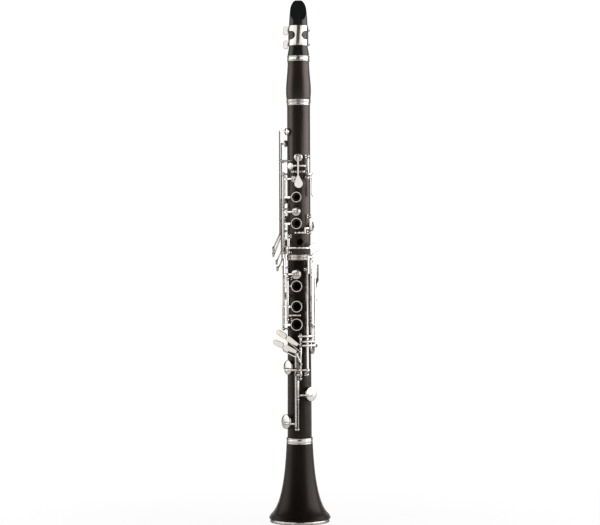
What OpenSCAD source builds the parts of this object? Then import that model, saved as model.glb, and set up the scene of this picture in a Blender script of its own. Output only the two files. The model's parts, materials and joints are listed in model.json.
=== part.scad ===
// Straight soprano clarinet with the Boehm key system, 17 keys and 6 rings.
// The bore runs up Z, the bell stands on Z = 0 and the finger holes face -Y.

/* [Overall] */
// Height of the whole instrument above the bell rim
total_h = 668; // [668:0.5:670]
// Diameter of the bore
bore_d = 14.6; // [14.2:0.1:15.2]
// Diameter of the upper joint
upper_d = 29.6; // [29.2:0.1:30]
// Diameter of the lower joint at its top
lower_top_d = 29.2; // [28.8:0.1:29.6]
// Diameter of the lower joint at the bell
lower_foot_d = 31.2; // [30.8:0.1:31.6]
// Diameter of the bell rim
bell_d = 78.6; // [76:0.2:80]

/* [Keywork] */
// Outer diameter of a hinge tube
tube_d = 3.4; // [3.0:0.1:3.6]
// Diameter of the steel rod in a hinge tube
rod_d = 1.8; // [1.6:0.1:2.0]
// Radial clearance between a rod and its tube
rod_gap = 0.05; // [0.03:0.01:0.08]
// Thickness of a key arm
arm_t = 1.5; // [1.3:0.1:1.6]
// Width of a key arm
arm_w = 2.6; // [2.2:0.1:2.8]
// Angle that an open-standing ring key stands up
ring_rise = 4.6; // [4.4:0.1:4.8]
// Angle that an open-standing low key stands up
low_rise = 7; // [6.5:0.1:7.5]

/* [Hidden] */
$fn = 48;

// Heights of the joints along the bore
mouthpiece_z = 595.5;
barrel_z = 536.4;
upper_z = 341.5;
lower_z = 107.5;
bore_r = bore_d / 2;
upper_r = upper_d / 2;
tube_r = tube_d / 2;
thin_tube_r = 1.2;
pinky_tube_r = 1.5;
thumb_rise = 6.6;
rod_r = rod_d / 2;
thin_rod_r = 0.75;
// Air between a closed pad and its tone hole
pad_air = 0.3;
seat_h = 0.4;
pad_t = 2.1;
cup_dome = 1.2;
cup_top = pad_t + cup_dome + 0.3;
// How far a rounded end stands proud of its arm
boss_edge = 0.12;
leaf_side = 0.985;

// Pad cups: angle from the front, height, radius
a_cup = [-2, 465.3, 5.4];
g_sharp_cup = [-36, 454.4, 4.8];
first_ring_cup = [-17, 437.8, 4.2];
second_ring_cup = [-8.5, 396.2, 5.4];
side_cup_1 = [-99, 387, 5];
side_cup_2 = [-99, 411.5, 5];
side_cup_3 = [-62, 498.6, 4.8];
side_cup_4 = [-99, 484, 4.8];
sliver_cup = [78, 377.6, 6];
c_sharp_cup = [-99, 356.5, 5.2];
register_cup = [180, 503, 4.4];
right_ring_cup = [-9, 316.5, 6.2];
banana_cup = [-99, 289, 5.2];
f_sharp_cup = [-55, 197.8, 9.2];
a_flat_cup = [72, 223.4, 8.8];
low_f_cup = [50, 164.1, 9.3];
low_e_cup = [-62, 128.6, 9.5];
UPPER_CUPS = [
    a_cup, g_sharp_cup, first_ring_cup, second_ring_cup, side_cup_1, side_cup_2,
    side_cup_3, side_cup_4, sliver_cup, c_sharp_cup
];
LOWER_CUPS = [right_ring_cup, banana_cup, f_sharp_cup, a_flat_cup, low_f_cup, low_e_cup];

// Finger rings: angle, height, inner radius, outer radius
ring_a = -8.5;
left_ring_1 = [ring_a, 414.7, 5.2, 7.2];
left_ring_2 = [ring_a, 381.1, 5.6, 7.6];
thumb_ring = [180, 403.8, 5.8, 7.6];
right_ring_1 = [ring_a, 301.4, 5.8, 7.8];
right_ring_2 = [ring_a, 275.5, 5.8, 7.8];
right_ring_3 = [ring_a, 252.5, 6.2, 8.2];
chimney_h = 1.9;
chimney_air = 0.8;
third_hole = [3, 357.8, 4];

// Hinge rods along the body: angle, distance from the bore axis, lowest and highest end
left_stack = [-70, 20.8, 342.6, 446.4];
g_sharp_axis = [36, 19.8, 437.4, 468.8];
sliver_axis = [46.7, 19.8, 367.7, 392.7];
c_sharp_axis = [-42, 19.8, 342.4, 367.3];
right_stack = [-71.3, 21.25, 244.8, 327.4];
banana_axis = [-40, 22.8, 256.6, 313.4];
e_axis = [-13, 20.6, 117.9, 217.2];
f_axis = [-4.6, 20.6, 117.9, 217.2];
pinky_axis = [4.4, 20.6, 181.9, 241.2];
long_axis = [29, 20.6, 187.0, 325.0];
lever_axis = [47, 21, 230.6, 288.2];

// Cross rods: angle, distance, height, half length
a_axis = [-2, 20.4, 447, 8.4];
register_axis = [180, 20.4, 468, 7.2];
trill_axis = [-99, 22, 461.5, 14.4];
thumb_axis = [146, 20, 395.2, 412.4];
side_axis = [-99, 17.7, 371.8, 8.4];
trill_x = 6.8;
side_x = 2.2;
lever_h = 23.6;

function polar(p, z) = [p[1] * sin(p[0]), -p[1] * cos(p[0]), z];
function lower_r(z) =
    (lower_top_d + (lower_foot_d - lower_top_d) * (upper_z - z) / (upper_z - lower_z)) / 2;
function body_r(z) = z > upper_z ? upper_r : lower_r(z);
function seat_r(c) = body_r(c[1]) + seat_h;

// ---------- placing ----------

// Puts a shape at an angle round the bore, at a distance and a height
module at(a, r, z) {
    rotate([0, 0, a]) translate([0, -r, z]) children();
}

// The same, with the shape's own Z pointing away from the bore
module facing(a, r, z) {
    at(a, r, z) rotate([90, 0, 0]) children();
}

// Turns a key about its lengthwise hinge
module swing(axis, turn) {
    centre = polar(axis, 0);
    translate(centre) rotate([0, 0, turn]) translate(-centre) children();
}

// ---------- pieces of a key ----------

module cup(c) {
    r = c[2];
    wall = 0.6;
    facing(c[0], seat_r(c) + pad_air, c[1]) rotate_extrude() polygon(concat(
        [[0, pad_t], [r - wall, pad_t], [r - wall, 0.9], [r, 0.9]],
        [for (t = [0:15:90]) [r * cos(t), pad_t + 0.3 + cup_dome * sin(t)]]
    ));
}

module pad(c) {
    r = c[2] - 0.6;
    facing(c[0], seat_r(c) + pad_air, c[1]) rotate_extrude()
        polygon([[0, 0], [r - 0.6, 0], [r - 0.15, 0.25], [r, 0.8], [r, pad_t], [0, pad_t]]);
}

// Room for the pad inside a key, a hair wider and deeper than the pad
module pad_room(c) {
    facing(c[0], seat_r(c) + pad_air, c[1]) translate([0, 0, -1.5]) cylinder(r = c[2] - 0.58, h = pad_t + 1.52);
}

module finger_ring(c) {
    edge = 0.35;
    h = 1.5;
    facing(c[0], body_r(c[1]) + chimney_h - h, c[1]) rotate_extrude() polygon([
        [c[2], 0], [c[3], 0], [c[3], h - edge], [c[3] - edge, h], [c[2] + edge, h], [c[2], h - edge]
    ]);
}

module tube(axis, z0, z1, r = tube_r) {
    at(axis[0], axis[1], z0) cylinder(r = r, h = z1 - z0);
}

module tube_bore(axis, r = rod_r) {
    at(axis[0], axis[1], axis[2] - 1) cylinder(r = r + rod_gap, h = axis[3] - axis[2] + 2);
}

module cross_tube(axis, x0, x1, r = tube_r) {
    facing(axis[0], axis[1], axis[2]) translate([x0, 0, 0]) rotate([0, 90, 0])
        cylinder(r = r, h = x1 - x0);
}

// An arm bent round the body at one distance
module arc_arm(a0, a1, r, z, w = arm_w) {
    rotate([0, 0, a0 - 90]) rotate_extrude(angle = a1 - a0)
        translate([r - arm_t / 2, z - w / 2]) square([arm_t, w]);
    for (a = [a0, a1])
        facing(a, r - arm_t / 2 - boss_edge, z) cylinder(d = w + 2 * boss_edge, h = arm_t + 2 * boss_edge);
}

// A straight arm between two places [angle, distance] at one height
module arm(p, q, z, w = arm_w) {
    a = polar(p, z);
    b = polar(q, z);
    d = b - a;
    translate(a) rotate([0, 0, atan2(d[1], d[0])]) translate([0, -arm_t / 2, -w / 2])
        cube([norm(d), arm_t, w]);
    for (e = [a, b])
        translate([e[0], e[1], z - w / 2 - boss_edge]) cylinder(d = arm_t + 2 * boss_edge, h = w + 2 * boss_edge);
}

// A bar along the body
module bar(a, r, z0, z1, w = 2.4) {
    facing(a, r - arm_t / 2 - boss_edge, z0) translate([-w / 2, 0, 0])
        cube([w, z1 - z0, arm_t + 2 * boss_edge]);
}

// A round link between two points
module link(p, q, d = 1.8) {
    v = q - p;
    translate(p) rotate([0, acos(v[2] / norm(v)), atan2(v[1], v[0])]) {
        cylinder(d = d, h = norm(v));
        for (z = [0, norm(v)])
            translate([0, 0, z]) sphere(d = d + 2 * boss_edge);
    }
}

// A flat leaf from one rounded end to the other, in the plane of the drawing; its straight
// sides cross the round ends a hair inside their tangent points
module leaf(p, rp, q, rq) {
    l = norm(q - p);
    lean = asin((rp - rq) / l);
    across = leaf_side * [rp, rq] * cos(lean);
    along = [rp, rq] * sin(lean);
    translate(p) rotate(atan2(q[1] - p[1], q[0] - p[0])) {
        circle(r = rp);
        translate([l, 0]) circle(r = rq);
        polygon([
            [along[0], across[0]], [l + along[1], across[1]],
            [l + along[1], -across[1]], [along[0], -across[0]]
        ]);
    }
}

module touch(a, r, p, rp, q, rq, t = 1.6) {
    facing(a, r, 0) linear_extrude(t) leaf(p, rp, q, rq);
}

// A post that holds a rod along the body
module post(axis, z, ball = 2.3) {
    base = body_r(z) - 1;
    facing(axis[0], base, z) {
        cylinder(r = max(0.95, ball / 2), h = axis[1] - base);
        cylinder(r = ball - 0.45, h = 1.7);
    }
    at(axis[0], axis[1], z) sphere(r = ball);
}

// A post that holds a cross rod, beside the middle of a key
module cross_post(axis, x, ball = 2.1) {
    base = sqrt(pow(upper_r, 2) - pow(x, 2)) - 1.2;
    facing(axis[0], base, axis[2]) translate([x, 0, 0]) cylinder(r = 1.1, h = axis[1] - base);
    facing(axis[0], axis[1], axis[2]) translate([x, 0, 0]) sphere(r = ball);
}

// ---------- body ----------

// A round tube along Z with its own inner and outer radius
module sleeve(r_in, r_out, z0, z1) {
    translate([0, 0, z0]) difference() {
        cylinder(r = r_out, h = z1 - z0);
        translate([0, 0, -1]) cylinder(r = r_in, h = z1 - z0 + 2);
    }
}

// A metal ring with a bead at each end and a groove between them
module ferrule(r_in, r_out, z0, z1) {
    h = z1 - z0;
    bead = min(h / 3, 1.6);
    translate([0, 0, z0]) rotate_extrude() polygon(concat(
        [[r_in, 0]],
        [for (t = [-90:30:90]) [r_out - bead / 2 + bead / 2 * cos(t), bead / 2 + bead / 2 * sin(t)]],
        [[r_out - 0.4, bead + 0.2], [r_out - 0.4, h - bead - 0.2]],
        [for (t = [-90:30:90]) [r_out - bead / 2 + bead / 2 * cos(t), h - bead / 2 + bead / 2 * sin(t)]],
        [[r_in, h]]
    ));
}

table_y = 9.6;
chamber_w = 11.2;
// The slope of the beak, from its foot to the tip: depth from the bore axis, height
beak_slope = [[-11.8, 640], [-9.7, 641.5], [-7.5, 644.2], [6.2, total_h]];
mouthpiece_tenon = 16;
barrel_socket = 17;
top_tenon = 15.5;
mid_tenon = 15;
foot_tenon = 18;
socket_r = 11.2;
mid_socket_r = 11.6;
foot_socket_r = 13;
cork_t = 0.8;
tenon_gap = 0.1;

module mouthpiece() color([0.05, 0.05, 0.06]) difference() {
    rotate_extrude() polygon(
        [
            [0, mouthpiece_z - mouthpiece_tenon], [socket_r - tenon_gap - cork_t, mouthpiece_z - mouthpiece_tenon],
            [socket_r - tenon_gap - cork_t, mouthpiece_z - 2], [socket_r - tenon_gap, mouthpiece_z - 2],
            [socket_r - tenon_gap, mouthpiece_z], [13.9, mouthpiece_z], [13.8, 598.5], [12.9, 603], [12.1, 607.5],
            [12, 635], [11.7, 641], [11.3, 647], [10.75, 652.5], [10.1, 657.5], [9.2, 662], [8.2, 665.4],
            [7.3, total_h], [0, total_h]
        ]
    );
    translate([0, 0, mouthpiece_z - 20]) cylinder(r = bore_r, h = 54);
    translate([-chamber_w / 2, 0, 0]) rotate([90, 0, 90]) linear_extrude(chamber_w)
        polygon([[-4.5, 625], [-4.5, 645.5], [6.2, 664], [20, 664], [20, 625]]);
    translate([-20, table_y, 604]) cube([40, 20, 80]);
    translate([-20, 0, 0]) rotate([90, 0, 90]) linear_extrude(40)
        polygon(concat([[-20, beak_slope[0][1]]], beak_slope, [[6.2, 680], [-20, 680]]));
}

module reed() color([0.86, 0.76, 0.5]) difference() {
    intersection() {
        translate([0, 0, 604.5]) cylinder(r = 12.05, h = total_h - 605.3);
        translate([-6.4, table_y, 600]) cube([12.8, 10, 80]);
    }
    translate([0, table_y + 2.6, 634]) rotate([4.4, 0, 0]) translate([-20, 0, 0]) cube([40, 20, 60]);
}

ligature_z = 608.6;
ligature_h = 25.3;
ligature_r = 12.15;
ligature_t = 0.75;
screw_y = 15.2;
screw_z = [612, 630];
lug_x = 6.5;

module ligature() color([0.8, 0.8, 0.82]) difference() {
    union() {
        sleeve(ligature_r, ligature_r + ligature_t, ligature_z, ligature_z + ligature_h);
        for (z = screw_z, s = [-1, 1])
            translate([s * lug_x, ligature_r - 1.5, z]) rotate([0, 90, 0])
                translate([-2.6, 0, -1.6]) union() {
                    cube([5.2, screw_y - ligature_r + 1.5, 3.2]);
                    translate([2.6, screw_y - ligature_r + 1.5, 0]) cylinder(r = 2.6, h = 3.2);
                }
    }
    translate([0, 0, ligature_z - 1]) cylinder(r = ligature_r, h = ligature_h + 2);
    for (z = screw_z)
        translate([-20, screw_y, z]) rotate([0, 90, 0]) cylinder(r = 1.25, h = 40);
    translate([-2.2, 5, ligature_z - 1]) cube([4.4, 20, ligature_h + 2]);
    for (s = [-1, 1])
        translate([s * 9.8, 0, ligature_z + 13]) rotate([90, 0, 0]) cylinder(r = 5.6, h = 20);
}

// Thumb screw that closes the ligature: round shank, collar and a flat oval wing on the left
module ligature_screw(z) color([0.85, 0.85, 0.87]) translate([0, screw_y, z]) rotate([0, 90, 0]) {
    wing_r = 3.2;
    wing_t = 2.2;
    translate([0, 0, -14]) cylinder(r = 1.2, h = 29);
    translate([0, 0, -13.2]) cylinder(r = 2.2, h = 1.4);
    translate([0, wing_t / 2, -16.2]) rotate([90, 0, 0]) linear_extrude(wing_t)
        leaf([-2.5, 0], wing_r, [2.5, 0], wing_r);
    translate([0, 0, 13.4]) sphere(r = 1.7);
}

module ligature_screw_upper() ligature_screw(screw_z[1]);
module ligature_screw_lower() ligature_screw(screw_z[0]);

barrel_ring_h = 7;
barrel_foot_h = 3.4;
module barrel() color([0.13, 0.11, 0.1]) {
    z0 = barrel_z;
    z1 = mouthpiece_z;
    body0 = z0 + barrel_foot_h;
    body1 = z1 - barrel_ring_h;
    difference() {
        rotate_extrude() polygon(concat(
            [[0, z0], [13.6, z0], [13.6, body0]],
            [for (u = [1:-0.1:0]) [13.8 + 2.3 * sin(140 * pow(u, 1.7)), body1 + (body0 - body1) * u]],
            [[12.9, body1], [12.9, z1], [0, z1]]
        ));
        translate([0, 0, z0 - 1]) cylinder(r = bore_r, h = z1 - z0 + 2);
        translate([0, 0, z1 - barrel_socket]) cylinder(r = socket_r, h = barrel_socket + 1);
        translate([0, 0, z0 - 1]) cylinder(r = socket_r, h = barrel_socket + 1);
    }
}

module barrel_rings() color([0.8, 0.8, 0.82]) {
    ferrule(12.9, 14.7, mouthpiece_z - barrel_ring_h, mouthpiece_z);
    ferrule(13.6, 15.9, barrel_z, barrel_z + barrel_foot_h);
}

// Raised flat seat under a pad, with its sunk wood
module seat(c) {
    facing(c[0], bore_r + 1, c[1]) cylinder(r = c[2] - 0.5, h = seat_r(c) - bore_r - 1);
}

// Tone hole from the outside to the bore
module tone_hole(c, r) {
    facing(c[0], 3, c[1]) cylinder(r = r, h = 20);
}

module chimney(c) {
    facing(c[0], bore_r + 1, c[1])
        cylinder(r = c[2] - chimney_air, h = body_r(c[1]) + chimney_h - bore_r - 1);
}

top_ring_h = 4.3;
tube_hole_r = 4.6;
register_hole_r = 2.4;

module upper_joint() color([0.12, 0.11, 0.1]) difference() {
    union() {
        rotate_extrude() polygon([
            [0, upper_z - mid_tenon],
            [mid_socket_r - tenon_gap - cork_t, upper_z - mid_tenon],
            [mid_socket_r - tenon_gap - cork_t, upper_z - 2],
            [mid_socket_r - tenon_gap, upper_z - 2],
            [mid_socket_r - tenon_gap, upper_z],
            [upper_r, upper_z],
            [upper_r, barrel_z - top_ring_h],
            [13.4, barrel_z - top_ring_h],
            [13.4, barrel_z],
            [socket_r - tenon_gap, barrel_z],
            [socket_r - tenon_gap, barrel_z + 2],
            [socket_r - tenon_gap - cork_t, barrel_z + 2],
            [socket_r - tenon_gap - cork_t, barrel_z + top_tenon],
            [0, barrel_z + top_tenon]
        ]);
        for (c = UPPER_CUPS)
            seat(c);
        for (c = [left_ring_1, left_ring_2])
            chimney(c);
        facing(third_hole[0], bore_r + 1, third_hole[1])
            cylinder(r = third_hole[2] + 1.2, h = upper_r + 1 - bore_r - 1);
    }
    translate([0, 0, upper_z - mid_tenon - 1])
        cylinder(r = bore_r, h = barrel_z - upper_z + mid_tenon + top_tenon + 2);
    for (c = UPPER_CUPS)
        tone_hole(c, c[2] * 0.6);
    for (c = [left_ring_1, left_ring_2])
        tone_hole(c, c[2] - 2);
    tone_hole(third_hole, third_hole[2]);
    tone_hole(thumb_ring, tube_hole_r);
    tone_hole(register_cup, register_hole_r);
}

module upper_joint_ring() color([0.8, 0.8, 0.82])
    ferrule(13.4, 15.3, barrel_z - top_ring_h, barrel_z);

mid_ring_h = 7;
foot_bore_r = 10.6;
flare_z = 190;
module lower_joint() color([0.08, 0.08, 0.08]) difference() {
    union() {
        rotate_extrude() polygon([
            [0, lower_z - foot_tenon],
            [foot_socket_r - tenon_gap - cork_t, lower_z - foot_tenon],
            [foot_socket_r - tenon_gap - cork_t, lower_z - 2],
            [foot_socket_r - tenon_gap, lower_z - 2],
            [foot_socket_r - tenon_gap, lower_z],
            [lower_foot_d / 2, lower_z],
            [lower_r(upper_z - mid_ring_h), upper_z - mid_ring_h],
            [13.4, upper_z - mid_ring_h],
            [13.4, upper_z],
            [0, upper_z]
        ]);
        for (c = LOWER_CUPS)
            seat(c);
        for (c = [right_ring_1, right_ring_2, right_ring_3])
            chimney(c);
    }
    translate([0, 0, lower_z - foot_tenon - 1])
        cylinder(r = bore_r, h = upper_z - lower_z + foot_tenon + 2);
    translate([0, 0, lower_z - foot_tenon - 0.01])
        cylinder(r1 = foot_bore_r, r2 = bore_r, h = flare_z - lower_z + foot_tenon);
    translate([0, 0, upper_z - mid_tenon - 0.6]) cylinder(r = mid_socket_r, h = mid_tenon + 2);
    for (c = LOWER_CUPS)
        tone_hole(c, c[2] * 0.6);
    for (c = [right_ring_1, right_ring_2, right_ring_3])
        tone_hole(c, c[2] - 2);
    for (z = rest_screw_z)
        facing(180, screw_foot_r - 0.1, z) cylinder(r = rest_screw_r + 0.02, h = 10);
}

module lower_joint_ring() color([0.8, 0.8, 0.82]) {
    ferrule(13.4, 16.4, upper_z - mid_ring_h, upper_z - mid_ring_h / 2);
    ferrule(13.4, 16.1, upper_z - mid_ring_h / 2, upper_z);
}

rim_h = 4;
rim_r = 38;
lip = 1.8;
bell_socket = 19;
bell_neck_r = 15.2;
bell_flare = 23.5;
bell_run = 38;
lip_flare = 15.8;
lip_run = 6.6;
bell_throat_r = 9.5;
bell_mouth_flare = 24.5;
bell_mouth_run = 36;
socket_ring_h = 7.7;
function bell_out(z) = bell_neck_r + bell_flare * exp(-z / bell_run) + lip_flare * exp(-z / lip_run);
function bell_in(z) = bell_throat_r + bell_mouth_flare * exp(-z / bell_mouth_run);

module bell() color([0.07, 0.07, 0.07]) difference() {
    lip_x = bell_d / 2 - lip;
    lip_z = rim_h + lip;
    rotate_extrude() polygon(concat(
        [[bell_in(rim_h), rim_h]],
        [for (t = [-60:20:60]) [lip_x + lip * cos(t), lip_z + lip * sin(t)]],
        [for (z = [9, 10.5, 12, 14, 17, 21, 26, 32, 39, 47, 57, 69, 84, lower_z - socket_ring_h]) [bell_out(z), z]],
        [[bell_neck_r, lower_z - socket_ring_h], [bell_neck_r, lower_z]],
        [[bell_in(lower_z), lower_z]],
        [for (z = [88, 74, 62, 51, 41, 32, 24, 16, 9]) [bell_in(z), z]]
    ));
    translate([0, 0, lower_z - bell_socket]) cylinder(r = foot_socket_r, h = bell_socket + 1);
}

module bell_socket_ring() color([0.8, 0.8, 0.82])
    ferrule(bell_neck_r, 17.2, lower_z - socket_ring_h, lower_z);

module bell_rim_ring() color([0.8, 0.8, 0.82]) rotate_extrude() polygon([
    [bell_in(0), 0], [rim_r - 0.6, 0], [rim_r, 0.6], [rim_r, rim_h - 0.4], [rim_r - 0.4, rim_h],
    [bell_in(rim_h), rim_h]
]);

module tenon_corks() color([0.72, 0.55, 0.36]) {
    r = socket_r - tenon_gap;
    mid = mid_socket_r - tenon_gap;
    foot = foot_socket_r - tenon_gap;
    sleeve(r - cork_t, r, mouthpiece_z - mouthpiece_tenon + 1, mouthpiece_z - 2);
    sleeve(r - cork_t, r, barrel_z + 2, barrel_z + top_tenon - 1);
    sleeve(mid - cork_t, mid, upper_z - mid_tenon + 1, upper_z - 2);
    sleeve(foot - cork_t, foot, lower_z - foot_tenon + 1, lower_z - 2);
}

module vent_tubes() color([0.75, 0.75, 0.77]) {
    facing(thumb_ring[0], bore_r + 0.6, thumb_ring[1]) difference() {
        cylinder(r = tube_hole_r, h = upper_r + chimney_h - bore_r - 0.6);
        translate([0, 0, -1]) cylinder(r = 3.8, h = 20);
    }
    facing(register_cup[0], bore_r - 1.5, register_cup[1]) difference() {
        cylinder(r = register_hole_r, h = upper_r + seat_h - bore_r + 1.5);
        translate([0, 0, -1]) cylinder(r = 1.6, h = 30);
    }
}

// ---------- posts, rods and thumb rest ----------

a_post_x = 6.9;
register_post_x = 5.6;
trill_post_x = 12.2;
side_post_x = 6.3;
left_post_z = [344.6, 400, 444.4];
g_sharp_post_z = [439.6, 466.6];
sliver_post_z = [369.9, 390.5];
c_sharp_post_z = [344.6, 365.1];
thumb_post_z = [397.3, 410.3];
right_post_z = [247.1, 325.1];
banana_post_z = [258.9, 311.1];
twin_post_z = [119.6, 215.9];
f_mid_post_z = 157.4;
pinky_post_z = [184, 239.1];
long_post_z = [189.2, 322.8];
lever_post_z = [232.9, 259.2, 285.9];
twin_ball = 1.45;
pinky_ball = 1.7;
long_ball = 2.2;

module posts(axis, heights, ball = 2.3) {
    for (z = heights)
        post(axis, z, ball);
}

module cross_posts(axis, x, ball = 2) {
    for (s = [-1, 1])
        cross_post(axis, s * x, ball);
}

module upper_posts() color([0.78, 0.78, 0.8]) difference() {
    union() {
        posts(left_stack, left_post_z);
        posts(g_sharp_axis, g_sharp_post_z);
        posts(sliver_axis, sliver_post_z);
        posts(c_sharp_axis, c_sharp_post_z);
        posts(thumb_axis, thumb_post_z);
        cross_posts(a_axis, a_post_x);
        cross_posts(register_axis, register_post_x);
        cross_posts(trill_axis, trill_post_x);
        cross_posts(side_axis, side_post_x, 1.5);
    }
    translate([0, 0, upper_z]) cylinder(r = upper_r, h = barrel_z - upper_z);
    for (axis = [left_stack, g_sharp_axis, sliver_axis, c_sharp_axis, thumb_axis])
        tube_bore(axis);
    for (axis = [a_axis, register_axis, trill_axis, side_axis])
        cross_tube(axis, -axis[3], axis[3], rod_r + rod_gap);
}

module lower_posts() color([0.78, 0.78, 0.8]) difference() {
    union() {
        posts(right_stack, right_post_z);
        posts(banana_axis, banana_post_z, 2);
        posts(e_axis, twin_post_z, twin_ball);
        posts(f_axis, concat(twin_post_z, [f_mid_post_z]), twin_ball);
        posts(pinky_axis, pinky_post_z, pinky_ball);
        posts(long_axis, long_post_z, long_ball);
        posts(lever_axis, lever_post_z, long_ball);
    }
    translate([0, 0, lower_z])
        cylinder(r1 = lower_foot_d / 2, r2 = lower_top_d / 2, h = upper_z - lower_z);
    for (axis = [right_stack, banana_axis, pinky_axis, long_axis, lever_axis])
        tube_bore(axis);
    for (axis = [e_axis, f_axis])
        tube_bore(axis, thin_rod_r);
}

module hinge_rods() color([0.6, 0.6, 0.62]) {
    for (axis = [left_stack, g_sharp_axis, sliver_axis, c_sharp_axis, thumb_axis,
                 right_stack, banana_axis, pinky_axis, long_axis, lever_axis])
        tube(axis, axis[2], axis[3], rod_r);
    for (axis = [e_axis, f_axis])
        tube(axis, axis[2], axis[3], thin_rod_r);
    for (axis = [a_axis, register_axis, trill_axis, side_axis])
        cross_tube(axis, -axis[3], axis[3], rod_r);
}

rest_z = [281, 311];
rest_t = 1.7;
rest_screw_z = [284.5, 307.5];
rest_screw_r = 1.1;
screw_foot_r = 12.5;
strap_a = 122;
module thumb_rest() color([0.78, 0.78, 0.8]) {
    r = lower_r(rest_z[0]);
    hook_r = 8.5;
    hook_t = 1.8;
    difference() {
        union() {
            intersection() {
                sleeve(r - 1, r + rest_t, rest_z[0], rest_z[1]);
                translate([-6.5, 0, rest_z[0] - 1]) cube([13, 40, 60]);
            }
            translate([-5.9, 0, 0]) rotate([90, 0, 90]) linear_extrude(11.8) polygon(concat(
                [for (t = [180:15:300]) [r + hook_r + hook_r * cos(t), 301 + hook_r * sin(t)]],
                [for (t = [300:-15:180])
                    [r + hook_r + (hook_r - hook_t) * cos(t), 301 + (hook_r - hook_t) * sin(t)]]
            ));
            rotate([0, 0, strap_a - 90]) rotate_extrude(angle = 174 - strap_a)
                translate([r - 1, rest_z[0] + 0.4]) square([rest_t + 0.7, 4]);
            facing(strap_a + 4, r - 1, rest_z[0] + 2.4) cylinder(r = 1.4, h = 5);
        }
        cylinder(r = r, h = 400);
        for (z = rest_screw_z)
            facing(180, 0, z) cylinder(r = rest_screw_r + 0.05, h = 30);
    }
    facing(strap_a + 4, r + 8.2, rest_z[0] + 2.4) rotate([0, 90, 0]) rotate_extrude()
        translate([4.4, 0]) circle(r = 1);
}

module thumb_rest_screws() color([0.7, 0.7, 0.72]) {
    r = lower_r(rest_z[0]);
    for (z = rest_screw_z)
        facing(180, screw_foot_r, z) difference() {
            union() {
                cylinder(r = rest_screw_r, h = r - screw_foot_r + rest_t);
                translate([0, 0, r - screw_foot_r + rest_t]) cylinder(r = 2.1, h = 0.9);
            }
            translate([-3, -0.3, r - screw_foot_r + rest_t + 0.4]) cube([6, 0.6, 2]);
        }
}

// ---------- upper joint keys ----------

key_color = [0.82, 0.82, 0.84];

module register_key() color(key_color) difference() {
    union() {
        cross_tube(register_axis, -3.2, 3.2);
        bar(180, 22.3, 420, 503, 3);
        touch(180, 22.2, [0, 424], 1.6, [0, 417.4], 3.6);
        facing(180, seat_r(register_cup) + cup_top - 0.4, register_cup[1]) cylinder(r = 1.6, h = 4);
        cup(register_cup);
    }
    cross_tube(register_axis, -9, 9, rod_r + rod_gap);
}

module a_key() color(key_color) difference() {
    union() {
        cross_tube(a_axis, -4.4, 4.4);
        bar(a_cup[0], 22.5, 438, 466.5);
        touch(a_cup[0], 23.2, [0, 441], 1.6, [0.6, 431.4], 5.6);
        facing(a_cup[0], seat_r(a_cup) + cup_top - 0.4, a_cup[1]) cylinder(r = 1.9, h = 4);
        cup(a_cup);
    }
    cross_tube(a_axis, -9, 9, rod_r + rod_gap);
}

module g_sharp_key() color(key_color) difference() {
    union() {
        tube(g_sharp_axis, 442.3, 464);
        arc_arm(g_sharp_cup[0], g_sharp_axis[0], 17.9, g_sharp_cup[1]);
        arc_arm(g_sharp_axis[0], 54, 21.8, 443.9);
        touch(52, 21.9, [0, 444], 1.8, [1.5, 419.5], 4.3);
        cup(g_sharp_cup);
    }
    pad_room(g_sharp_cup);
    tube_bore(g_sharp_axis);
}

// Where a ring key's arm meets its ring
ring_edge = [-34.5, 17.8];

module first_ring_key() color(key_color) swing(left_stack, -ring_rise) difference() {
    stack = [left_stack[0], left_stack[1]];
    union() {
        tube(left_stack, 402.6, 441.8);
        arm(stack, ring_edge, left_ring_1[1]);
        finger_ring(left_ring_1);
        arm(stack, [-52, 19.1], first_ring_cup[1], arm_w - 0.3);
        arc_arm(-52, first_ring_cup[0], 19, first_ring_cup[1]);
        cup(first_ring_cup);
    }
    tube_bore(left_stack);
}

bridge_a = -56;
module second_ring_key() color(key_color) swing(left_stack, -ring_rise) difference() {
    stack = [left_stack[0], left_stack[1]];
    union() {
        tube(left_stack, 347.2, 397.4);
        arm(stack, ring_edge, left_ring_2[1]);
        finger_ring(left_ring_2);
        arm(stack, [-52, 19.1], 395.8, arm_w - 0.3);
        arc_arm(-52, second_ring_cup[0], 19, 395.8);
        cup(second_ring_cup);
        arm(stack, [bridge_a, 20.3], 349.6);
        bar(bridge_a, 20.3, 328, 350.9, 3);
    }
    tube_bore(left_stack);
}

module thumb_ring_key() color(key_color) swing(thumb_axis, -thumb_rise) difference() {
    union() {
        tube(thumb_axis, 399.9, 407.7);
        arm([thumb_axis[0], thumb_axis[1]], [157, 17.8], thumb_ring[1]);
        finger_ring(thumb_ring);
    }
    tube_bore(thumb_axis);
}

// The side keys lie in one plane frame: X round the body, Y up, Z away from the bore
side_w = 2.4;
side_h = 22.5;
module side_frame() {
    facing(trill_axis[0], 0, 0) children();
}

module side_bar(x, h, z0, z1) {
    side_frame() translate([x - side_w / 2, z0, h - arm_t / 2]) cube([side_w, z1 - z0, arm_t]);
}

module side_touch(x, h, z) {
    side_frame() translate([0, 0, h]) linear_extrude(1.6) leaf([x - 1.6, z], 3.3, [x + 2.8, z], 3.3);
}

module side_key_1() color(key_color) difference() {
    union() {
        cross_tube(side_axis, -4.1, -0.3);
        side_bar(-side_x, side_h, 334, 388);
        side_frame() translate([-side_x - 1.2, side_axis[2] - 1.3, 17.7]) cube([2.4, 2.6, 4.8]);
        side_frame() translate([-3.4, side_cup_1[1] - 1.6, 18.6]) cube([3.8, 2.6, 3.6]);
        side_frame() link([-side_x - 0.3, 335, side_h], [-side_x - 0.5, 327.6, 25.8]);
        side_frame() link([-side_x - 0.5, 327.6, 25.8], [0.8, 324.6, 27.1]);
        side_touch(3.6, 26.5, 323.6);
        cup(side_cup_1);
    }
    cross_tube(side_axis, -9, 9, rod_r + rod_gap);
}

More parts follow.
